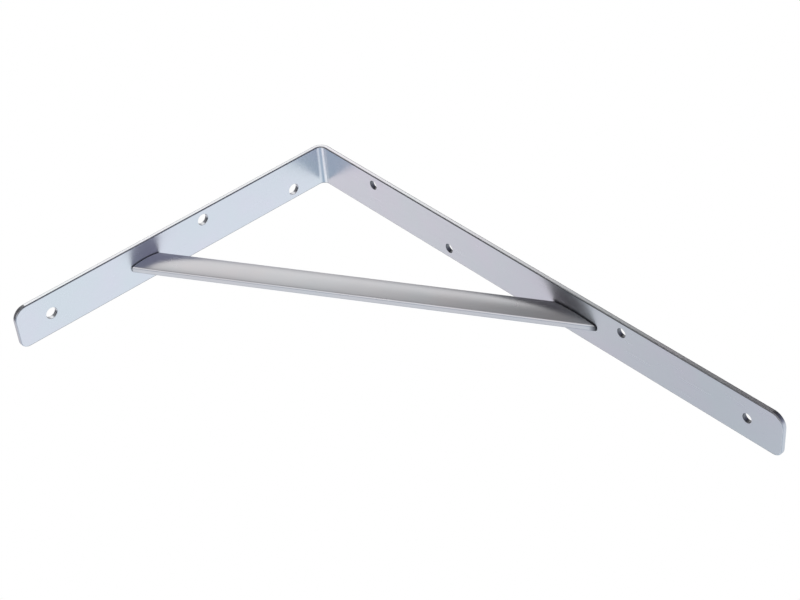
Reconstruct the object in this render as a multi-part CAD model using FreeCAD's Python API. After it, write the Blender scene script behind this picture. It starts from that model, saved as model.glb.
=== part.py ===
import FreeCAD
import Part
import math
import os

# Gallows shelf bracket: a flat strap bent to a right angle, with a crowned brace welded across it.
# Frame: the wall plane is Y = 0, the shelf's underside is Z = 0, and X = 0 is the middle of the strap.
# The origin is where the two planes meet. The wall arm runs down and the shelf arm runs out along +Y.

# Strap
STRAP_WIDTH = 30.0
STRAP_THICKNESS = 3.2
WALL_ARM_LENGTH = 400.0
SHELF_ARM_LENGTH = 250.0
INNER_BEND_RADIUS = 4.5
END_CORNER_ON_CROWN_SIDE = 8.8
END_CORNER_ON_OPEN_SIDE = 5.8
STRAP_EDGE_ROUND = 0.7

# Screw holes: distances from the corner. They change sides of the strap's middle all the way along it
WALL_HOLE_DIAMETER = 6.4
WALL_HOLE_DISTANCES = (57.0, 130.0, 280.0)
SHELF_HOLE_DIAMETER = 8.0
SHELF_HOLE_DISTANCES = (30.0, 105.0)
HOLE_STAGGER = 7.5
END_HOLE_INSET = 25.0

# Brace: a strip pressed to a shallow channel, crowned on its -X side and open on its +X side
BRACE_WIDTH = 19.0
BRACE_DEPTH = 5.5
BRACE_CROWN = 1.3
BRACE_THICKNESS = 3.0
BRACE_EDGE_ROUND = 1.0
BRACE_SEAT_ON_WALL_ARM = 243.0
BRACE_SEAT_ON_SHELF_ARM = 153.0

TOUCH = 1e-6
CORNER = FreeCAD.Vector(0, 0, 0)
ACROSS = FreeCAD.Vector(1, 0, 0)
OUTWARD = FreeCAD.Vector(0, 1, 0)
UPWARD = FreeCAD.Vector(0, 0, 1)


def line(start, end):
    return Part.LineSegment(start, end).toShape()


def arc(start, middle, end):
    return Part.Arc(start, middle, end).toShape()


def to_wall(shape):
    """Mirror a shape of the shelf arm onto the wall arm, across the bend's diagonal."""
    return shape.mirror(CORNER, OUTWARD + UPWARD)


def end_corner(length, side, radius):
    """Start, middle and end of the round at one corner of an arm's end."""
    flat_end = STRAP_WIDTH / 2 - radius
    reach = radius * math.sqrt(0.5)
    return (
        FreeCAD.Vector(side * STRAP_WIDTH / 2, length - radius, 0),
        FreeCAD.Vector(side * (flat_end + reach), length - radius + reach, 0),
        FreeCAD.Vector(side * flat_end, length, 0)
    )


def flat_arm(length):
    """One arm as the shelf arm lies: outer face on Z = 0, from the bend out along +Y, end corners rounded."""
    half = STRAP_WIDTH / 2
    start = INNER_BEND_RADIUS + STRAP_THICKNESS
    near_left = FreeCAD.Vector(-half, start, 0)
    near_right = FreeCAD.Vector(half, start, 0)
    side_left, round_left, end_left = end_corner(length, -1, END_CORNER_ON_CROWN_SIDE)
    side_right, round_right, end_right = end_corner(length, 1, END_CORNER_ON_OPEN_SIDE)
    outline = Part.Wire([
        line(near_left, near_right),
        line(near_right, side_right),
        arc(side_right, round_right, end_right),
        line(end_right, end_left),
        arc(end_left, round_left, side_left),
        line(side_left, near_left),
    ])
    return Part.Face(outline).extrude(UPWARD * -STRAP_THICKNESS)


def bend():
    """Quarter turn that joins the arms."""
    outer_radius = INNER_BEND_RADIUS + STRAP_THICKNESS
    corner = FreeCAD.Vector(STRAP_WIDTH / 2, outer_radius, 0)
    section = Part.makePlane(STRAP_THICKNESS, STRAP_WIDTH, corner, OUTWARD, UPWARD * -1)
    return section.revolve(FreeCAD.Vector(0, outer_radius, -outer_radius), ACROSS, 90)


def is_wide_side(face):
    """True for the strap's wide sides, flat or bent, and false for its edges and ends."""
    low_u, high_u, low_v, high_v = face.ParameterRange
    normal = face.normalAt((low_u + high_u) / 2, (low_v + high_v) / 2)
    middle = face.CenterOfMass
    at_wall_end = abs(middle.z + WALL_ARM_LENGTH) < TOUCH
    at_shelf_end = abs(middle.y - SHELF_ARM_LENGTH) < TOUCH
    return abs(normal.x) < TOUCH and not at_wall_end and not at_shelf_end


def rim_edges(solid):
    """Edges between a wide side and a narrow one, all round both faces of the strap."""
    rims = []
    for edge in solid.Edges:
        neighbours = solid.ancestorsOfType(edge, Part.Face)
        if sum(is_wide_side(face) for face in neighbours) == 1:
            rims.append(edge)
    return rims


def screw_holes(distances, arm_length, diameter, first_offset):
    """Drills for one arm as the shelf arm lies: staggered holes, and a centred one near the end."""
    places = [(first_offset * (-1) ** number, distance) for number, distance in enumerate(distances)]
    places.append((0, arm_length - END_HOLE_INSET))
    drills = []
    for across, distance in places:
        foot = FreeCAD.Vector(across, distance, -2 * STRAP_THICKNESS)
        drills.append(Part.makeCylinder(diameter / 2, 3 * STRAP_THICKNESS, foot, UPWARD))
    return Part.makeCompound(drills)


def bent_strap():
    """Both arms and the bend as one strap, with rounded rims and screw holes."""
    shelf_arm = flat_arm(SHELF_ARM_LENGTH)
    wall_arm = to_wall(flat_arm(WALL_ARM_LENGTH))
    strap = bend().fuse([shelf_arm, wall_arm]).removeSplitter().Solids[0]
    strap = strap.makeFillet(STRAP_EDGE_ROUND, rim_edges(strap))
    shelf_holes = screw_holes(SHELF_HOLE_DISTANCES, SHELF_ARM_LENGTH, SHELF_HOLE_DIAMETER, HOLE_STAGGER)
    wall_holes = screw_holes(WALL_HOLE_DISTANCES, WALL_ARM_LENGTH, WALL_HOLE_DIAMETER, -HOLE_STAGGER)
    return strap.cut([shelf_holes, to_wall(wall_holes)]).Solids[0]


def brace_section():
    """Section of the brace: local X across its width, local Y towards the crown."""
    half = BRACE_WIDTH / 2
    foot = -BRACE_DEPTH / 2
    crown = BRACE_DEPTH / 2
    crown_radius = (half ** 2 + BRACE_CROWN ** 2) / (2 * BRACE_CROWN)
    crown_centre = crown - crown_radius
    leg = half - BRACE_THICKNESS
    inner_radius = crown_radius - BRACE_THICKNESS
    root = crown_centre + math.sqrt(inner_radius ** 2 - leg ** 2)
    shoulder = crown - BRACE_CROWN
    vault = crown - BRACE_THICKNESS
    return Part.Face(Part.Wire([
        line(FreeCAD.Vector(-half, foot, 0), FreeCAD.Vector(-half, shoulder, 0)),
        arc(FreeCAD.Vector(-half, shoulder, 0), FreeCAD.Vector(0, crown, 0), FreeCAD.Vector(half, shoulder, 0)),
        line(FreeCAD.Vector(half, shoulder, 0), FreeCAD.Vector(half, foot, 0)),
        line(FreeCAD.Vector(half, foot, 0), FreeCAD.Vector(leg, foot, 0)),
        line(FreeCAD.Vector(leg, foot, 0), FreeCAD.Vector(leg, root, 0)),
        arc(FreeCAD.Vector(leg, root, 0), FreeCAD.Vector(0, vault, 0), FreeCAD.Vector(-leg, root, 0)),
        line(FreeCAD.Vector(-leg, root, 0), FreeCAD.Vector(-leg, foot, 0)),
        line(FreeCAD.Vector(-leg, foot, 0), FreeCAD.Vector(-half, foot, 0)),
    ]))


def round_lengthwise(bar, length):
    """Round the bar's long edges: its shoulders, the lips of its legs and the roots inside."""
    long_edges = [edge for edge in bar.Edges if abs(edge.Length - length) < TOUCH]
    return bar.makeFillet(BRACE_EDGE_ROUND, long_edges)


def diagonal_brace():
    """The pressed channel from arm to arm, its ends mitred flush with the arms' inner faces."""
    run = BRACE_SEAT_ON_SHELF_ARM - STRAP_THICKNESS
    rise = BRACE_SEAT_ON_WALL_ARM - STRAP_THICKNESS
    overshoot = BRACE_WIDTH * max(run, rise) / min(run, rise)
    length = math.hypot(run, rise) + 2 * overshoot
    bar = brace_section().extrude(UPWARD * length)
    bar = round_lengthwise(bar, length)
    along = FreeCAD.Vector(0, run, rise).normalize()
    outer_side = FreeCAD.Vector(0, rise, -run).normalize()
    turn = FreeCAD.Rotation(outer_side, ACROSS * -1, along, "XYZ")
    wall_seat = FreeCAD.Vector(0, STRAP_THICKNESS, -BRACE_SEAT_ON_WALL_ARM)
    bar.Placement = FreeCAD.Placement(wall_seat - along * overshoot, turn)
    inside_corner = Part.makeBox(
        2 * STRAP_WIDTH, SHELF_ARM_LENGTH, WALL_ARM_LENGTH,
        FreeCAD.Vector(-STRAP_WIDTH, STRAP_THICKNESS, -STRAP_THICKNESS - WALL_ARM_LENGTH)
    )
    return bar.common(inside_corner).Solids[0]


def main():
    os.makedirs("parts", exist_ok=True)
    nodes = {"bent_strap": bent_strap(), "diagonal_brace": diagonal_brace()}
    for name, solid in nodes.items():
        solid.exportStep("parts/" + name + ".step")
        print(name, "valid", solid.isValid(), "volume", round(solid.Volume, 1), "mm3")


main()
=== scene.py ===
"""Gallows shelf bracket: a bent, zinc-plated strap with a crowned diagonal brace."""

import logging
import math
from dataclasses import dataclass
from enum import Enum
from typing import Callable, Union

import bpy
from mathutils import Matrix, Vector


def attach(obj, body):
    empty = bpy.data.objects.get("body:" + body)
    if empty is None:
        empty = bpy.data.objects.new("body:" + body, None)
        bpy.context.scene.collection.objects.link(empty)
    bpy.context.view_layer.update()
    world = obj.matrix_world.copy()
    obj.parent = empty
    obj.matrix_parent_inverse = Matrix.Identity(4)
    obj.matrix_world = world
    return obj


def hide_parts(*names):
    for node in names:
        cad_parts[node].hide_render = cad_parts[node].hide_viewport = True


LOG = logging.getLogger("gallows_shelf_bracket")
DARK_STEEL_AND_SHADE = "dark_steel_and_shade"

# Tolerances in metres: for equal places, for the facets of a hole and for the facets of the bend
NEAR = 1e-6
ON_HOLE = 2e-5
ON_BEND = 1e-5

# Faces of more square metres than this set the shading along their borders
LARGE_FACE = 1.5e-4

# Edges that turn by more degrees than this are shaded sharp
SHARP_SHADING = 50.0
HOLE_FACETS = 64

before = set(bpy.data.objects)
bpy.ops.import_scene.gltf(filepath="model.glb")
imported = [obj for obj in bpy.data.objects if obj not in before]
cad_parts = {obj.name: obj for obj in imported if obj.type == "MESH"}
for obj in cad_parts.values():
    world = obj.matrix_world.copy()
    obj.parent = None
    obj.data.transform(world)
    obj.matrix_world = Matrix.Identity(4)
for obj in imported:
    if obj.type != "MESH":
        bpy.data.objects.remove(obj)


class Slot(Enum):
    """Material slots of the part."""

    STRAP = "zinc_strap"
    BRACE = "zinc_brace"


class Domain(Enum):
    """What a stored value belongs to."""

    FACE = "FACE"
    POINT = "POINT"


class Axis(Enum):
    """The frame's axes as directions."""

    ACROSS = (1.0, 0.0, 0.0)
    OUTWARD = (0.0, 1.0, 0.0)
    UPWARD = (0.0, 0.0, 1.0)

    @property
    def vector(self) -> Vector:
        """The direction as a vector."""
        return Vector(self.value)


def distance_from_axis(point: Vector, centre: Vector, axis: Vector) -> float:
    """How far a point is from a line.

    Args:
        point: The point.
        centre: A point of the line.
        axis: The line's direction, one metre long.

    Returns:
        The shortest distance.
    """
    offset = point - centre
    return (offset - axis * offset.dot(axis)).length


class Workpiece:
    """A mesh that is traced as an outline and then shaped with edit-mode operators."""

    def __init__(self, name: str, start: Vector) -> None:
        """Start an outline.

        Args:
            name: The object's name.
            start: The outline's first point, in metres.
        """
        bpy.ops.object.select_all(action="DESELECT")
        bpy.ops.mesh.primitive_plane_add(size=1.0, location=(0, 0, 0))
        self.object = bpy.context.active_object
        self.object.name = name
        self.object.data.name = name
        self.tip = start.copy()
        self.edit()
        bpy.ops.mesh.select_mode(type="VERT")
        bpy.ops.mesh.select_all(action="SELECT")
        bpy.ops.mesh.merge(type="CENTER")
        bpy.ops.transform.translate(value=start)

    def edit(self) -> None:
        """Enter edit mode on this object alone."""
        bpy.context.view_layer.objects.active = self.object
        bpy.ops.object.mode_set(mode="EDIT")

    def leave(self) -> None:
        """Go back to object mode."""
        bpy.ops.object.mode_set(mode="OBJECT")

    def pick(self) -> None:
        """Leave edit mode with this object alone selected."""
        self.leave()
        bpy.ops.object.select_all(action="DESELECT")
        self.object.select_set(True)
        bpy.context.view_layer.objects.active = self.object

    def line_to(self, target: Vector) -> None:
        """Draw a straight stretch of the outline.

        Args:
            target: Where the stretch ends.
        """
        bpy.ops.mesh.extrude_region_move(TRANSFORM_OT_translate={"value": target - self.tip})
        self.tip = target.copy()

    def arc_to(self, centre: Vector, axis: Vector, angle: float, steps: int) -> None:
        """Draw a round stretch of the outline.

        Args:
            centre: The arc's centre.
            axis: The axis that the outline's tip turns about.
            angle: The turn by the right-hand rule, in radians.
            steps: How many short edges make the arc.
        """
        bpy.ops.mesh.spin(steps=steps, angle=-angle, center=centre, axis=axis)
        self.tip = centre + Matrix.Rotation(angle, 3, axis) @ (self.tip - centre)

    def close(self) -> None:
        """Join the outline's ends and fill it with one face."""
        bpy.ops.mesh.select_all(action="SELECT")
        bpy.ops.mesh.remove_doubles(threshold=NEAR)
        bpy.ops.mesh.edge_face_add()

    def extrude(self, step: Vector) -> None:
        """Push the filled outline into a solid.

        Args:
            step: How far the outline moves.
        """
        bpy.ops.mesh.extrude_region_move(TRANSFORM_OT_translate={"value": step})
        bpy.ops.mesh.select_all(action="SELECT")
        bpy.ops.mesh.normals_make_consistent(inside=False)

    def select_edges(self, wanted: Callable[[Vector, Vector], bool]) -> int:
        """Select edges by their two ends.

        Args:
            wanted: Says whether the edge between two points is taken.

        Returns:
            How many edges are selected.
        """
        bpy.ops.mesh.select_mode(type="EDGE")
        bpy.ops.mesh.select_all(action="DESELECT")
        self.leave()
        points = self.object.data.vertices
        taken = 0
        for edge in self.object.data.edges:
            edge.select = wanted(points[edge.vertices[0]].co, points[edge.vertices[1]].co)
            taken += edge.select
        self.edit()
        return taken

    def select_sharp(self, angle: float) -> None:
        """Select every edge where the surface turns sharply.

        Args:
            angle: The smallest turn that counts, in radians.
        """
        bpy.ops.mesh.select_mode(type="EDGE")
        bpy.ops.mesh.select_all(action="DESELECT")
        bpy.ops.mesh.edges_select_sharp(sharpness=angle)

    def bevel(self, width: float, strips: int) -> None:
        """Round the selected edges.

        Args:
            width: How far the round reaches from the edge.
            strips: How many strips make the round.
        """
        bpy.ops.mesh.bevel(
            offset=width, offset_type="OFFSET", segments=strips, affect="EDGES", clamp_overlap=False
        )

    def cut(self, point: Vector, normal: Vector) -> None:
        """Cut off what lies beyond a plane, and close the cut.

        Args:
            point: A point of the plane.
            normal: The plane's normal, towards what is cut off.
        """
        bpy.ops.mesh.select_all(action="SELECT")
        bpy.ops.mesh.bisect(plane_co=point, plane_no=normal, use_fill=False, clear_outer=True)
        bpy.ops.mesh.edge_face_add()

    def score(self, point: Vector, normal: Vector) -> None:
        """Draw a line round the solid where a plane crosses it.

        Args:
            point: A point of the plane.
            normal: The plane's normal.
        """
        bpy.ops.mesh.select_all(action="SELECT")
        bpy.ops.mesh.bisect(plane_co=point, plane_no=normal, use_fill=False)

    def drill(self, centre: Vector, axis: Vector, radius: float, depth: float) -> None:
        """Drill a round hole through the solid.

        Args:
            centre: The hole's middle.
            axis: The hole's direction.
            radius: The hole's radius.
            depth: The drill's length.
        """
        self.leave()
        turn = axis.to_track_quat("Z", "Y").to_euler()
        bpy.ops.mesh.primitive_cylinder_add(
            vertices=HOLE_FACETS, radius=radius, depth=depth, location=centre, rotation=turn
        )
        drill = bpy.context.active_object
        modifier = self.object.modifiers.new("drill", "BOOLEAN")
        modifier.operation = "DIFFERENCE"
        modifier.solver = "EXACT"
        modifier.object = drill
        bpy.context.view_layer.objects.active = self.object
        bpy.ops.object.modifier_apply(modifier=modifier.name)
        bpy.data.objects.remove(drill, do_unlink=True)
        self.edit()

    def mark_dark_steel_and_shade(self, dark_steel_and_shade_share: Callable[[Vector], float], domain: Domain) -> None:
        """Store how dull the plating is from place to place, and where shade is painted on it.

        Args:
            dark_steel_and_shade_share: Gives 0 to 1 for a place on the surface.
            domain: Faces, for hard borders, or points, to blend from one to the next.
        """
        self.leave()
        mesh = self.object.data
        if domain is Domain.FACE:
            places = [face.center.copy() for face in mesh.polygons]
        else:
            places = [point.co.copy() for point in mesh.vertices]
        layer = mesh.attributes.new(DARK_STEEL_AND_SHADE, "FLOAT", domain.value)
        for number, place in enumerate(places):
            layer.data[number].value = dark_steel_and_shade_share(place)
        self.edit()

    def place(self, matrix: Matrix) -> None:
        """Put the mesh in its place in the frame, with the object left at the origin.

        Args:
            matrix: The mesh's place.
        """
        self.pick()
        self.object.matrix_world = matrix
        bpy.ops.object.transform_apply(location=True, rotation=True, scale=True)
        self.edit()

    def finish(self, slot: Slot, node: str, material: bpy.types.Material) -> bpy.types.Object:
        """Smooth the solid, dress it and put it in the part's place for a node.

        Args:
            slot: The record's material slot; not used.
            node: The node that the piece stands for.
            material: The finish.

        Returns:
            The finished object.
        """
        bpy.ops.mesh.select_all(action="SELECT")
        bpy.ops.mesh.remove_doubles(threshold=NEAR)
        bpy.ops.mesh.normals_make_consistent(inside=False)
        self._favour_large_faces()
        self.pick()
        bpy.ops.object.shade_smooth_by_angle(angle=math.radians(SHARP_SHADING))
        modifier = self.object.modifiers.new("flat_faces", "WEIGHTED_NORMAL")
        modifier.keep_sharp = True
        modifier.use_face_influence = True
        bpy.ops.object.modifier_apply(modifier=modifier.name)
        self.object.data.materials.clear()
        self.object.data.materials.append(material)
        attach(self.object, "root")
        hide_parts(node)
        return self.object

    def _favour_large_faces(self) -> None:
        """Let the large faces alone set the shading along their borders, so that they look flat."""
        bpy.ops.mesh.select_mode(type="FACE")
        bpy.ops.mesh.select_all(action="DESELECT")
        self.leave()
        for face in self.object.data.polygons:
            face.select = face.area > LARGE_FACE
        self.edit()
        bpy.ops.mesh.mod_weighted_strength(set=True, face_strength="STRONG")


def add_math(
    tree: bpy.types.NodeTree, operation: str, *terms: Union[bpy.types.NodeSocket, float]
) -> bpy.types.NodeSocket:
    """Add a calculation to a node tree.

    Args:
        tree: The material's or the world's nodes.
        operation: The calculation.
        *terms: What goes into it, each a socket to link or a plain number.

    Returns:
        The socket that holds the result.
    """
    node = tree.nodes.new("ShaderNodeMath")
    node.operation = operation
    for socket, term in zip(node.inputs, terms):
        if isinstance(term, float):
            socket.default_value = term
        else:
            tree.links.new(term, socket)
    return node.outputs[0]


def add_range(
    tree: bpy.types.NodeTree,
    value: bpy.types.NodeSocket,
    source: tuple[float, float],
    target: tuple[float, float] = (0.0, 1.0),
    interpolation: str = "LINEAR",
) -> bpy.types.NodeSocket:
    """Map one span of numbers onto another.

    Args:
        tree: The material's or the world's nodes.
        value: The socket that holds the number.
        source: The span that the number is read against.
        target: The span that it is mapped onto.
        interpolation: How the numbers between are mapped.

    Returns:
        The socket that holds the mapped number.
    """
    node = tree.nodes.new("ShaderNodeMapRange")
    node.interpolation_type = interpolation
    node.inputs["From Min"].default_value, node.inputs["From Max"].default_value = source
    node.inputs["To Min"].default_value, node.inputs["To Max"].default_value = target
    tree.links.new(value, node.inputs["Value"])
    return node.outputs["Result"]


@dataclass(frozen=True)
class ColourMix:
    """The sockets of a node that lays one colour over another."""

    factor: bpy.types.NodeSocket
    below: bpy.types.NodeSocket
    above: bpy.types.NodeSocket
    mixed: bpy.types.NodeSocket

    @classmethod
    def add(cls, tree: bpy.types.NodeTree) -> "ColourMix":
        """Add such a node.

        Args:
            tree: The material's or the world's nodes.

        Returns:
            The node's sockets.
        """
        node = tree.nodes.new("ShaderNodeMix")
        node.data_type = "RGBA"
        return cls(node.inputs["Factor"], node.inputs[6], node.inputs[7], node.outputs[2])


@dataclass(frozen=True)
class Noise:
    """A noise pattern: its scale per metre, its layers of detail and how strong the fine ones are."""

    scale: float
    detail: float
    roughness: float = 0.5

    def add(self, tree: bpy.types.NodeTree, place: bpy.types.NodeSocket) -> bpy.types.NodeSocket:
        """Add the pattern to a material.

        Args:
            tree: The material's nodes.
            place: The socket that holds the place on the surface.

        Returns:
            The socket that holds the pattern's value.
        """
        node = tree.nodes.new("ShaderNodeTexNoise")
        node.inputs["Scale"].default_value = self.scale
        node.inputs["Detail"].default_value = self.detail
        node.inputs["Roughness"].default_value = self.roughness
        tree.links.new(place, node.inputs["Vector"])
        return node.outputs["Fac"]


@dataclass(frozen=True)
class ZincFinish:
    """Bright zinc plate on rolled steel: satin, faintly blue, with soft streaks along the strip.

    Attributes:
        name: The material's name.
        tint: The plating's colour.
        cloud: The colour that it drifts to in places.
        along: The direction of the streaks.
        roughness: How satin the plating is.
        roughness_span: How far the streaks take the roughness down and up.
        dark_steel_and_shade: The colour of dull steel, which also stands in for shade painted on the surface.
        bare_roughness: How much rougher dull steel is.
        stretch: How long the streaks are, as the share of their pattern's pace that is left along the strip.
        cloud_span: The part of the clouds' pattern that the colour drifts over.
        streak_span: The part of the streaks' pattern that the roughness follows.
        streak_height: The streaks' share of the relief, against the grain's.
        relief: The relief's strength.
        relief_depth: The relief's depth, in metres.
    """

    name: str
    tint: tuple[float, float, float]
    cloud: tuple[float, float, float]
    along: tuple[float, float, float]
    roughness: float = 0.28
    roughness_span: tuple[float, float] = (-0.01, 0.02)
    # Near black: the colour of dull steel and of painted shade
    dark_steel_and_shade: tuple[float, float, float] = (0.05, 0.05, 0.055)
    bare_roughness: float = 0.25
    stretch: float = 0.06
    streaks: Noise = Noise(420.0, 5.0, 0.62)
    clouds: Noise = Noise(26.0, 4.0, 0.55)
    grain: Noise = Noise(2600.0, 3.0)
    cloud_span: tuple[float, float] = (0.34, 0.66)
    streak_span: tuple[float, float] = (0.3, 0.7)
    streak_height: float = 0.2
    relief: float = 0.02
    relief_depth: float = 0.0001

    def build(self) -> bpy.types.Material:
        """Make the material.

        Returns:
            The node-based material.
        """
        material = bpy.data.materials.new(self.name)
        material.use_nodes = True
        tree = material.node_tree
        tree.nodes.clear()
        output = tree.nodes.new("ShaderNodeOutputMaterial")
        shader = tree.nodes.new("ShaderNodeBsdfPrincipled")
        shader.inputs["Metallic"].default_value = 1.0
        place = tree.nodes.new("ShaderNodeTexCoord").outputs["Object"]
        # The stored share of dull steel and of painted shade
        attribute = tree.nodes.new("ShaderNodeAttribute")
        attribute.attribute_name = DARK_STEEL_AND_SHADE
        dark_steel_and_shade_share = attribute.outputs["Fac"]
        streaks = self.streaks.add(tree, self._along_the_strip(tree, place))
        tree.links.new(self._colour(tree, place, dark_steel_and_shade_share), shader.inputs["Base Color"])
        tree.links.new(self._satin(tree, streaks, dark_steel_and_shade_share), shader.inputs["Roughness"])
        tree.links.new(self._relief(tree, place, streaks), shader.inputs["Normal"])
        tree.links.new(shader.outputs["BSDF"], output.inputs["Surface"])
        return material

    def _along_the_strip(
        self, tree: bpy.types.NodeTree, place: bpy.types.NodeSocket
    ) -> bpy.types.NodeSocket:
        """Draw out the place on the surface along the strip, for a pattern that follows the rolling.

        Args:
            tree: The material's nodes.
            place: The socket that holds the place on the surface.

        Returns:
            The socket that holds the drawn-out place.
        """
        lengthwise = tree.nodes.new("ShaderNodeVectorMath")
        lengthwise.operation = "DOT_PRODUCT"
        lengthwise.inputs[1].default_value = self.along
        spread = tree.nodes.new("ShaderNodeSeparateXYZ")
        strip = tree.nodes.new("ShaderNodeCombineXYZ")
        tree.links.new(place, lengthwise.inputs[0])
        tree.links.new(place, spread.inputs[0])
        pace = add_math(tree, "MULTIPLY", lengthwise.outputs["Value"], self.stretch)
        tree.links.new(spread.outputs["X"], strip.inputs["X"])
        tree.links.new(pace, strip.inputs["Y"])
        return strip.outputs[0]

    def _colour(
        self, tree: bpy.types.NodeTree, place: bpy.types.NodeSocket, dark_steel_and_shade_share: bpy.types.NodeSocket
    ) -> bpy.types.NodeSocket:
        """Colour the plating, with dull steel and painted shade laid over it.

        Args:
            tree: The material's nodes.
            place: The socket that holds the place on the surface.
            dark_steel_and_shade_share: The socket that holds the share of dull steel and painted shade.

        Returns:
            The socket that holds the colour.
        """
        drift = ColourMix.add(tree)
        drift.below.default_value = (*self.tint, 1.0)
        drift.above.default_value = (*self.cloud, 1.0)
        tree.links.new(add_range(tree, self.clouds.add(tree, place), self.cloud_span), drift.factor)
        # Dull steel and painted shade, laid over the plating by the stored share
        dark_steel_and_shade_mix = ColourMix.add(tree)
        dark_steel_and_shade_mix.above.default_value = (*self.dark_steel_and_shade, 1.0)
        tree.links.new(dark_steel_and_shade_share, dark_steel_and_shade_mix.factor)
        tree.links.new(drift.mixed, dark_steel_and_shade_mix.below)
        return dark_steel_and_shade_mix.mixed

    def _satin(
        self, tree: bpy.types.NodeTree, streaks: bpy.types.NodeSocket, dark_steel_and_shade_share: bpy.types.NodeSocket
    ) -> bpy.types.NodeSocket:
        """Set how satin the surface is.

        Args:
            tree: The material's nodes.
            streaks: The socket that holds the streaks' pattern.
            dark_steel_and_shade_share: The socket that holds the share of dull steel and painted shade.

        Returns:
            The socket that holds the roughness.
        """
        low, high = self.roughness_span
        plated = add_range(tree, streaks, self.streak_span, (self.roughness + low, self.roughness + high))
        return add_math(tree, "MULTIPLY_ADD", dark_steel_and_shade_share, self.bare_roughness, plated)

    def _relief(
        self, tree: bpy.types.NodeTree, place: bpy.types.NodeSocket, streaks: bpy.types.NodeSocket
    ) -> bpy.types.NodeSocket:
        """Give the surface the faint relief of its streaks and its grain.

        Args:
            tree: The material's nodes.
            place: The socket that holds the place on the surface.
            streaks: The socket that holds the streaks' pattern.

        Returns:
            The socket that holds the surface's direction.
        """
        grain = self.grain.add(tree, place)
        height = add_math(tree, "MULTIPLY_ADD", streaks, self.streak_height, grain)
        bump = tree.nodes.new("ShaderNodeBump")
        bump.inputs["Strength"].default_value = self.relief
        bump.inputs["Distance"].default_value = self.relief_depth
        tree.links.new(height, bump.inputs["Height"])
        return bump.outputs["Normal"]


@dataclass(frozen=True)
class Hole:
    """A screw hole: how far it is from the bend's corner, and its offset from the strap's middle."""

    distance: float
    offset: float


@dataclass(frozen=True)
class Bore:
    """A screw hole in its place: its mouth's middle, its direction, its radius and its wall's share of dull
    steel and painted shade.
    """

    centre: Vector
    axis: Vector
    radius: float
    dullness_and_shade: float


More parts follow.
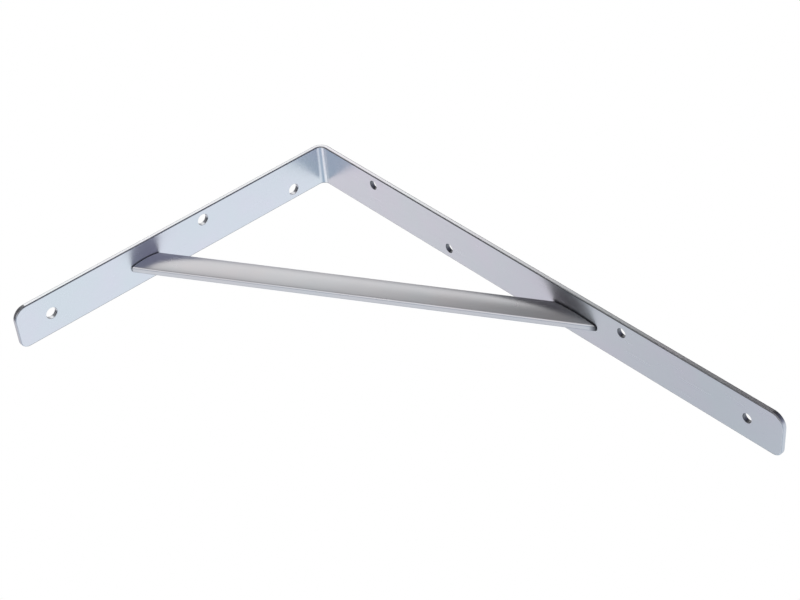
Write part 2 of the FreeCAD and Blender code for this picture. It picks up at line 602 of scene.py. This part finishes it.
@dataclass
class BentStrap:
    """The flat strap, bent once to a right angle, with rounded ends and screw holes.

    Sizes are in metres and the two corner_shade angles in degrees. A share of dull steel says how dull a place
    is, a share of painted shade how much dark is painted on it as shade, and steps and strips say how many
    flats make a round.
    """

    finish: ZincFinish
    width: float = 0.030
    thickness: float = 0.0032
    wall_arm: float = 0.400
    shelf_arm: float = 0.250
    inner_bend: float = 0.0045
    bend_steps: int = 16
    crown_side_corner: float = 0.0088
    open_side_corner: float = 0.0058
    corner_strips: int = 16
    rim_round: float = 0.0007
    rim_strips: int = 6
    hole_round: float = 0.00025
    hole_strips: int = 3
    wall_hole_radius: float = 0.0032
    shelf_hole_radius: float = 0.0040
    # Rims and crown-side end corners get painted shade; the wall holes' walls mostly painted shade; the ends
    # and shelf holes dull sheared steel
    rim_painted_shade: float = 0.6
    corner_painted_shade: float = 0.7
    corner_shade_to: float = 62.0
    corner_shade_fade: float = 25.0
    end_dullness: float = 0.2
    wall_hole_dullness_and_shade: float = 0.7
    shelf_hole_dullness: float = 0.1
    wall_holes: tuple[Hole, ...] = (
        Hole(0.057, -0.0075),
        Hole(0.130, 0.0075),
        Hole(0.280, -0.0075),
        Hole(0.375, 0.0),
    )
    shelf_holes: tuple[Hole, ...] = (Hole(0.030, 0.0075), Hole(0.105, -0.0075), Hole(0.225, 0.0))

    @property
    def bores(self) -> list[Bore]:
        """Every screw hole in its place.

        Returns:
            The wall arm's holes, and then the shelf arm's.
        """
        bores = []
        for hole in self.wall_holes:
            centre = Vector((hole.offset, 0, -hole.distance))
            bores.append(Bore(centre, Axis.OUTWARD.vector, self.wall_hole_radius, self.wall_hole_dullness_and_shade))
        for hole in self.shelf_holes:
            centre = Vector((hole.offset, hole.distance, 0))
            bores.append(Bore(centre, Axis.UPWARD.vector, self.shelf_hole_radius, self.shelf_hole_dullness))
        return bores

    def build(self) -> bpy.types.Object:
        """Model the strap.

        Returns:
            The finished strap.
        """
        piece = self._bar()
        self._round_ends(piece)
        self._drill(piece)
        self._round_rims(piece)
        piece.mark_dark_steel_and_shade(self._dark_steel_and_shade_share, Domain.FACE)
        return piece.finish(Slot.STRAP, "bent_strap", self.finish.build())

    def _bar(self) -> Workpiece:
        """Trace the side view and push it across the strap's width.

        Returns:
            The strap with square ends and no holes.
        """
        side, inner, outer = -self.width / 2, self.thickness, self.thickness + self.inner_bend
        centre = Vector((side, outer, -outer))
        piece = Workpiece("bent_strap_zinc", Vector((side, 0, -self.wall_arm)))
        piece.line_to(Vector((side, 0, -outer)))
        piece.arc_to(centre, Axis.ACROSS.vector, -math.pi / 2, self.bend_steps)
        piece.line_to(Vector((side, self.shelf_arm, 0)))
        piece.line_to(Vector((side, self.shelf_arm, -inner)))
        piece.line_to(Vector((side, outer, -inner)))
        piece.arc_to(centre, Axis.ACROSS.vector, math.pi / 2, self.bend_steps)
        piece.line_to(Vector((side, inner, -self.wall_arm)))
        piece.close()
        piece.extrude(Vector((self.width, 0, 0)))
        return piece

    def _round_ends(self, piece: Workpiece) -> None:
        """Round the two corners of each arm's end, more on the side that the brace's crown faces.

        Args:
            piece: The strap.
        """
        for side, radius in ((-1, self.crown_side_corner), (1, self.open_side_corner)):
            piece.select_edges(lambda a, b: self._at_corner(a, b, side))
            piece.bevel(radius, self.corner_strips)

    def _at_corner(self, a: Vector, b: Vector, side: int) -> bool:
        """Say whether an edge is the corner of an arm's end.

        Args:
            a: One end of the edge.
            b: The other end.
            side: -1 for the side that the brace's crown faces, and 1 for the other.

        Returns:
            True at such a corner.
        """
        across_wall_end = a.z < NEAR - self.wall_arm and b.z < NEAR - self.wall_arm
        across_shelf_end = a.y > self.shelf_arm - NEAR and b.y > self.shelf_arm - NEAR
        on_side = min(side * a.x, side * b.x) > self.width / 2 - NEAR
        return (across_wall_end or across_shelf_end) and on_side

    def _drill(self, piece: Workpiece) -> None:
        """Drill every screw hole.

        Args:
            piece: The strap.
        """
        middle, depth = self.thickness / 2, self.thickness * 3
        for hole in self.wall_holes:
            centre = Vector((hole.offset, middle, -hole.distance))
            piece.drill(centre, Axis.OUTWARD.vector, self.wall_hole_radius, depth)
        for hole in self.shelf_holes:
            centre = Vector((hole.offset, hole.distance, -middle))
            piece.drill(centre, Axis.UPWARD.vector, self.shelf_hole_radius, depth)

    def _round_rims(self, piece: Workpiece) -> None:
        """Round the mouths of the holes, and the rims of both wide sides.

        Args:
            piece: The strap.
        """
        mouth_edges = piece.select_edges(self._at_mouth)
        piece.bevel(self.hole_round, self.hole_strips)
        rim_edges = piece.select_edges(self._at_rim)
        piece.bevel(self.rim_round, self.rim_strips)
        LOG.info("hole mouth edges: %d, rim edges: %d", mouth_edges, rim_edges)

    def _at_mouth(self, a: Vector, b: Vector) -> bool:
        """Say whether an edge lies on the mouth of a screw hole.

        Args:
            a: One end of the edge.
            b: The other end.

        Returns:
            True on a mouth.
        """
        for bore in self.bores:
            level = abs((a - b).dot(bore.axis)) < NEAR
            gaps = [abs(distance_from_axis(point, bore.centre, bore.axis) - bore.radius) for point in (a, b)]
            if level and max(gaps) < ON_HOLE:
                return True
        return False

    def _at_rim(self, a: Vector, b: Vector) -> bool:
        """Say whether an edge lies between a wide side and a narrow one.

        Args:
            a: One end of the edge.
            b: The other end.

        Returns:
            True on a rim.
        """
        through = abs((a - b).length - self.thickness) < NEAR and abs(a.x - b.x) < NEAR
        return not through and self._on_wide_side(a) and self._on_wide_side(b) and self._at_narrow_side(a, b)

    def _on_wide_side(self, point: Vector) -> bool:
        """Say whether a point lies on one of the strap's wide sides."""
        depth = self._depth(point)
        return min(abs(depth), abs(depth - self.thickness)) < ON_BEND

    def _at_narrow_side(self, a: Vector, b: Vector) -> bool:
        """Say whether an edge runs beside a narrow side or round an arm's end.

        Args:
            a: One end of the edge.
            b: The other end.

        Returns:
            True beside a narrow side or at an end.
        """
        side = min(self.width / 2 - abs(a.x), self.width / 2 - abs(b.x)) < NEAR and abs(a.x - b.x) < NEAR
        wall_end = max(a.z, b.z) < -self.wall_arm + self.crown_side_corner + NEAR
        shelf_end = min(a.y, b.y) > self.shelf_arm - self.crown_side_corner - NEAR
        return side or wall_end or shelf_end

    def _depth(self, point: Vector) -> float:
        """Measure how far a point is below the strap's outer side, round the bend too.

        Args:
            point: A point of the strap.

        Returns:
            The depth, from 0 on the outer side to the thickness on the inner one.
        """
        outer = self.thickness + self.inner_bend
        if point.z > -outer and point.y < outer:
            return outer - math.hypot(point.y - outer, point.z + outer)
        return point.y if point.z <= -outer else -point.z

    def _dark_steel_and_shade_share(self, point: Vector) -> float:
        """Tell how dull a place is and where shade is painted: hole walls, the large end corners, the ends and
        the rims.

        Args:
            point: A point of the surface.

        Returns:
            The share of dull steel and painted shade.
        """
        # Hole walls: dull sheared steel, and in the wall arm's holes painted shade
        for bore in self.bores:
            wall_reach = bore.radius + self.hole_round / self.hole_strips
            if distance_from_axis(point, bore.centre, bore.axis) < wall_reach:
                return bore.dullness_and_shade
        depth = self._depth(point)
        to_end = min(point.z + self.wall_arm, self.shelf_arm - point.y)
        # Painted shade on the crown-side corner rounds, fading out as the round turns past corner_shade_to
        radius = self.crown_side_corner
        offset = Vector((point.x + self.width / 2 - radius, to_end - radius))
        if offset.x < 0 and offset.y < 0 and offset.length > radius - self.rim_round:
            turn = math.degrees(math.atan2(-offset.y, -offset.x))
            share = min(1.0, max(0.0, (self.corner_shade_to - turn) / self.corner_shade_fade))
            return self.end_dullness + share * (self.corner_painted_shade - self.end_dullness)
        if to_end < self.rim_round:
            return self.end_dullness
        # Painted shade along the rims
        near_edge = self.width / 2 - abs(point.x) < self.rim_round
        near_side = NEAR < min(depth, self.thickness - depth) < self.rim_round
        return self.rim_painted_shade if near_edge and near_side else 0.0


@dataclass
class DiagonalBrace:
    """The strip pressed to a crowned channel, from arm to arm, crown towards -X.

    Sizes are in metres and sharp_turn in degrees. A reach is how far a dark mark goes from an arm: stain in
    the seams, a painted shadow along the wall seam and painted shade beside it. Steps and strips say how many
    flats make a round.
    """

    finish: ZincFinish
    strap_thickness: float
    width: float = 0.019
    depth: float = 0.0055
    crown: float = 0.0013
    crown_steps: int = 12
    thickness: float = 0.0030
    vault_steps: int = 8
    edge_round: float = 0.0010
    edge_strips: int = 6
    sharp_turn: float = 25.0
    # The wall seam's stain is widened into a painted shadow; beside it painted shade fades out over
    # joint_shade_reach
    wall_stain_and_shadow_reach: float = 0.0009
    shelf_stain_reach: float = 0.0006
    joint_shade_reach: float = 0.0028
    joint_painted_shade: float = 0.5
    wall_seat: float = 0.243
    shelf_seat: float = 0.153

    def build(self) -> bpy.types.Object:
        """Model the brace.

        Returns:
            The finished brace.
        """
        run, rise = self.shelf_seat - self.strap_thickness, self.wall_seat - self.strap_thickness
        overshoot = 2 * self.width
        length = math.hypot(run, rise) + 2 * overshoot
        piece = self._bar(length)
        along = Vector((0, run, rise)).normalized()
        outer_side = Vector((0, rise, -run)).normalized()
        start = Vector((0, self.strap_thickness, -self.wall_seat)) - along * overshoot
        turn = Matrix((outer_side, -Axis.ACROSS.vector, along)).transposed().to_4x4()
        piece.place(Matrix.Translation(start) @ turn)
        piece.cut(Vector((0, self.strap_thickness, 0)), -Axis.OUTWARD.vector)
        piece.cut(Vector((0, 0, -self.strap_thickness)), Axis.UPWARD.vector)
        piece.select_sharp(math.radians(self.sharp_turn))
        piece.bevel(self.edge_round, self.edge_strips)
        # Line where the painted shade beside the wall seam ends
        piece.score(Vector((0, self.strap_thickness + self.joint_shade_reach, 0)), Axis.OUTWARD.vector)
        piece.mark_dark_steel_and_shade(self._dark_steel_and_shade_share, Domain.POINT)
        return piece.finish(Slot.BRACE, "diagonal_brace", self.finish.build())

    def _bar(self, length: float) -> Workpiece:
        """Trace the channel's section and push it along its length.

        Args:
            length: The bar's length before its ends are cut.

        Returns:
            The bar, with its length along Z and its crown towards +Y.
        """
        half, foot, axis = self.width / 2, -self.depth / 2, Axis.UPWARD.vector
        leg = half - self.thickness
        crown_radius = (half**2 + self.crown**2) / (2 * self.crown)
        vault_radius = crown_radius - self.thickness
        middle = Vector((0, self.depth / 2 - crown_radius, 0))
        crown_angle, vault_angle = math.asin(half / crown_radius), math.asin(leg / vault_radius)
        shoulder = middle.y + crown_radius * math.cos(crown_angle)
        root = middle.y + vault_radius * math.cos(vault_angle)
        piece = Workpiece("diagonal_brace_zinc", Vector((-half, foot, 0)))
        piece.line_to(Vector((-half, shoulder, 0)))
        piece.arc_to(middle, axis, -2 * crown_angle, self.crown_steps)
        piece.line_to(Vector((half, foot, 0)))
        piece.line_to(Vector((leg, foot, 0)))
        piece.line_to(Vector((leg, root, 0)))
        piece.arc_to(middle, axis, 2 * vault_angle, self.vault_steps)
        piece.line_to(Vector((-leg, foot, 0)))
        piece.close()
        piece.extrude(Vector((0, 0, length)))
        return piece

    def _dark_steel_and_shade_share(self, point: Vector) -> float:
        """Tell how dark a place is: stain in the seams, widened at the wall seam into a painted shadow, and
        painted shade in a zone beside the wall arm's seam that fades out.

        Args:
            point: A point of the surface.

        Returns:
            The share of dark stain and painted shade.
        """
        wall_gap, shelf_gap = point.y - self.strap_thickness, -point.z - self.strap_thickness
        # Stain in the seams, widened at the wall seam into a painted shadow
        if wall_gap < self.wall_stain_and_shadow_reach or shelf_gap < self.shelf_stain_reach:
            return 1.0
        # Painted shade beside the wall seam, fading out
        return self.joint_painted_shade * max(0.0, 1.0 - wall_gap / self.joint_shade_reach)


@dataclass
class PhotoCamera:
    """The photograph's camera, fitted to the strap's edges. Its lens and film width are in millimetres."""

    location: tuple[float, float, float] = (-0.68724, 0.59991, -0.82579)
    back: tuple[float, float, float] = (-0.62508, 0.48534, -0.61132)
    up: tuple[float, float, float] = (-0.77722, -0.45938, 0.43000)
    lens: float = 80.05
    film_width: float = 36.0
    nearest: float = 0.01
    farthest: float = 50.0

    @property
    def axes(self) -> Matrix:
        """The camera's directions.

        Returns:
            Its right, up and back directions as columns.
        """
        back = Vector(self.back).normalized()
        right = Vector(self.up).cross(back).normalized()
        return Matrix((right, back.cross(right), back)).transposed()

    def build(self) -> bpy.types.Object:
        """Add the camera to the scene.

        Returns:
            The camera.
        """
        data = bpy.data.cameras.new("photo_camera")
        data.lens = self.lens
        data.sensor_width = self.film_width
        data.clip_start, data.clip_end = self.nearest, self.farthest
        camera = bpy.data.objects.new("photo_camera", data)
        bpy.context.collection.objects.link(camera)
        camera.matrix_world = Matrix.Translation(self.location) @ self.axes.to_4x4()
        bpy.context.scene.camera = camera
        return camera


@dataclass(frozen=True)
class Glow:
    """A soft patch of light or shade in the room, placed as the photographer sees it.

    Attributes:
        right: How far to the right its middle is.
        up: How far up its middle is.
        near: How far towards the photographer its middle is.
        colour: Its colour.
        full: The angle round its middle where it is solid, in degrees.
        fade: The angle where it has faded out, in degrees.
    """

    right: float
    up: float
    near: float
    colour: tuple[float, float, float]
    full: float
    fade: float


@dataclass
class Studio:
    """Room with a pale table side, a light overhead and dark corners, and a plain pale floor."""

    camera: PhotoCamera
    floor_height: float = -2.0
    floor_size: float = 12.0
    floor_shade: float = 0.86
    floor_roughness: float = 0.9
    floor_lift: float = 0.36
    room: tuple[float, float, float] = (0.50, 0.50, 0.52)
    table: Glow = Glow(0.1, -1.0, 0.1, (0.39, 0.49, 0.61), 30.0, 80.0)
    right_table: Glow = Glow(0.85, -0.48, -0.15, (0.82, 0.88, 0.96), 30.0, 58.0)
    left_backdrop: Glow = Glow(-0.80, -0.27, -0.54, (0.80, 0.79, 0.85), 7.0, 22.0)
    left_table: Glow = Glow(-0.48, -0.86, -0.06, (1.03, 1.05, 1.09), 16.0, 25.0)
    shade_left: Glow = Glow(-0.93, 0.16, 0.20, (0.055, 0.06, 0.075), 40.0, 48.0)
    dark_left: Glow = Glow(-0.80, 0.54, 0.28, (0.01, 0.012, 0.022), 21.0, 27.0)
    left_wall: Glow = Glow(-0.74, 0.48, -0.47, (0.55, 0.55, 0.57), 27.0, 37.0)
    window: Glow = Glow(-0.46, 0.02, 0.88, (1.15, 1.15, 1.17), 30.0, 35.0)
    shade_front: Glow = Glow(0.30, 0.78, 0.55, (0.06, 0.06, 0.08), 14.0, 24.0)
    overhead: Glow = Glow(-0.15, 0.955, -0.20, (1.15, 1.15, 1.15), 20.0, 26.0)
    shade_above: Glow = Glow(0.55, 0.80, 0.22, (0.035, 0.035, 0.04), 41.5, 44.5)
    shade_right: Glow = Glow(0.70, 0.36, 0.60, (0.29, 0.31, 0.43), 24.0, 40.0)

    def build(self) -> None:
        """Add the floor and the world."""
        self._floor()
        self._world()

    def _floor(self) -> None:
        """Lay the plain pale floor, which is left out of what the metal mirrors."""
        bpy.ops.object.select_all(action="DESELECT")
        bpy.ops.mesh.primitive_plane_add(size=self.floor_size, location=(0, 0, self.floor_height))
        floor = bpy.context.active_object
        floor.name = "floor"
        material = bpy.data.materials.new("floor_paper")
        material.use_nodes = True
        tree = material.node_tree
        shader, output = tree.nodes["Principled BSDF"], tree.nodes["Material Output"]
        shader.inputs["Base Color"].default_value = (self.floor_shade, self.floor_shade, self.floor_shade, 1.0)
        shader.inputs["Roughness"].default_value = self.floor_roughness
        shader.inputs["Emission Color"].default_value = (1.0, 1.0, 1.0, 1.0)
        path = tree.nodes.new("ShaderNodeLightPath")
        lift = add_math(tree, "MULTIPLY", path.outputs["Is Camera Ray"], self.floor_lift)
        tree.links.new(lift, shader.inputs["Emission Strength"])
        open_room = tree.nodes.new("ShaderNodeBsdfTransparent")
        choose = tree.nodes.new("ShaderNodeMixShader")
        tree.links.new(path.outputs["Is Glossy Ray"], choose.inputs["Fac"])
        tree.links.new(shader.outputs["BSDF"], choose.inputs[1])
        tree.links.new(open_room.outputs["BSDF"], choose.inputs[2])
        tree.links.new(choose.outputs["Shader"], output.inputs["Surface"])
        floor.data.materials.append(material)

    def _world(self) -> None:
        """Colour the room, which the metal mirrors while the camera alone sees plain white."""
        world = bpy.data.worlds.new("studio")
        world.use_nodes = True
        bpy.context.scene.world = world
        tree = world.node_tree
        tree.nodes.clear()
        output = tree.nodes.new("ShaderNodeOutputWorld")
        shown = tree.nodes.new("ShaderNodeBackground")
        lit = tree.nodes.new("ShaderNodeBackground")
        choose = tree.nodes.new("ShaderNodeMixShader")
        path = tree.nodes.new("ShaderNodeLightPath")
        shown.inputs["Color"].default_value = (1.0, 1.0, 1.0, 1.0)
        lit.inputs["Color"].default_value = (*self.room, 1.0)
        tree.links.new(path.outputs["Is Camera Ray"], choose.inputs["Fac"])
        tree.links.new(lit.outputs[0], choose.inputs[1])
        tree.links.new(shown.outputs[0], choose.inputs[2])
        tree.links.new(choose.outputs[0], output.inputs["Surface"])
        direction = tree.nodes.new("ShaderNodeTexCoord").outputs["Generated"]
        # Each patch covers the ones before it
        for glow in (
            self.table,
            self.right_table,
            self.left_backdrop,
            self.left_table,
            self.shade_left,
            self.dark_left,
            self.left_wall,
            self.window,
            self.shade_front,
            self.overhead,
            self.shade_above,
            self.shade_right,
        ):
            self._add_glow(tree, glow, direction, lit.inputs["Color"])

    def _add_glow(
        self,
        tree: bpy.types.NodeTree,
        glow: Glow,
        direction: bpy.types.NodeSocket,
        colour: bpy.types.NodeSocket,
    ) -> None:
        """Lay a patch over the room's colour so far.

        Args:
            tree: The world's nodes.
            glow: The patch.
            direction: The socket that holds the direction looked in.
            colour: The socket that holds the room's colour.
        """
        middle = self.camera.axes @ Vector((glow.right, glow.up, glow.near))
        aim = tree.nodes.new("ShaderNodeVectorMath")
        aim.operation = "DOT_PRODUCT"
        aim.inputs[1].default_value = middle.normalized()
        span = (math.cos(math.radians(glow.fade)), math.cos(math.radians(glow.full)))
        soft = add_range(tree, aim.outputs["Value"], span, interpolation="SMOOTHSTEP")
        patch = ColourMix.add(tree)
        patch.below.default_value = colour.default_value
        if colour.links:
            tree.links.new(colour.links[0].from_socket, patch.below)
        patch.above.default_value = (*glow.colour, 1.0)
        tree.links.new(direction, aim.inputs[0])
        tree.links.new(soft, patch.factor)
        tree.links.new(patch.mixed, colour)


def main() -> None:
    """Build the bracket, the room and the camera, and log each piece."""
    logging.basicConfig(level=logging.INFO, format="%(name)s: %(message)s")
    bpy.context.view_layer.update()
    strap_finish = ZincFinish(
        name="zinc_strap_plate",
        tint=(0.81, 0.84, 0.85),
        cloud=(0.84, 0.82, 0.86),
        along=(0.0, 1.0, -1.0),
    )
    brace_finish = ZincFinish(
        name="zinc_brace_plate",
        tint=(0.59, 0.60, 0.62),
        cloud=(0.61, 0.595, 0.61),
        along=(0.0, 0.53, 0.85),
    )
    strap = BentStrap(strap_finish)
    for maker in (strap, DiagonalBrace(brace_finish, strap.thickness)):
        piece = maker.build()
        LOG.info("%s: %d faces", piece.name, len(piece.data.polygons))
    camera = PhotoCamera()
    Studio(camera).build()
    camera.build()
    scene = bpy.context.scene
    scene.view_settings.view_transform = "Standard"


if __name__ == "__main__":
    main()
